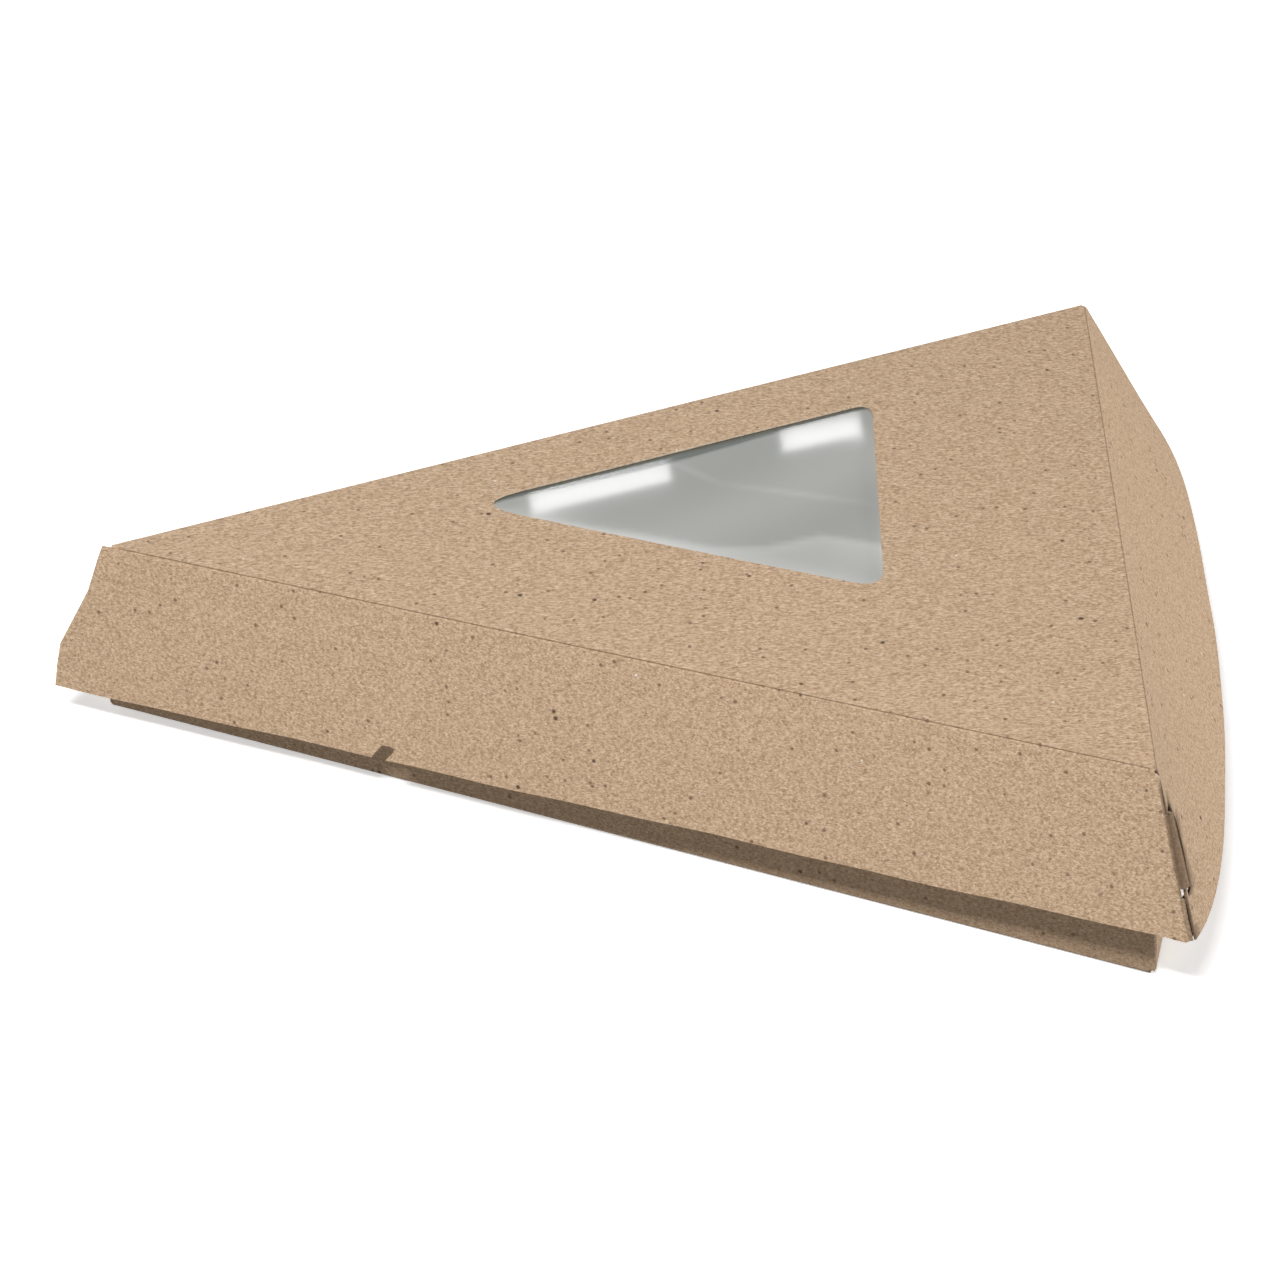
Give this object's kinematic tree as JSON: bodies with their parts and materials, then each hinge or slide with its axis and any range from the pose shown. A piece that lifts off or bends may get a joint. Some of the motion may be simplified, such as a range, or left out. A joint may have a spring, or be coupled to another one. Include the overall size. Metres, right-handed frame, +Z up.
{
  "type": "pizza slice box",
  "caption": "Wedge-shaped kraft board box for a slice of pizza, with a clear window in a hinged lid whose corner is locked by a tab in a slit.",
  "frame": {"origin": "on the surface that the box stands on, under the middle of the box's overall length and width", "axes": "+X from the tip of the slice towards the crust side, +Y towards the side with the hinge, +Z up"},
  "size_m": [0.2586, 0.1984, 0.0525],
  "materials": {
    "kraft_board": "matte, fine light and dark fibres",
    "window_film": "clear film, glossy, a little wrinkled"
  },
  "bodies": {
    "tray": {"tray": "kraft_board"},
    "lid": {"lid": "kraft_board", "window_film": "window_film"}
  },
  "joints": [
    {"name": "lid_hinge", "type": "hinge", "parent": "tray", "child": "lid", "pos_m": [-0.11467, 0.00326, 0.0443], "axis": [-0.9239, -0.3827, 0], "range_deg": [-2.8, 180]}
  ]
}
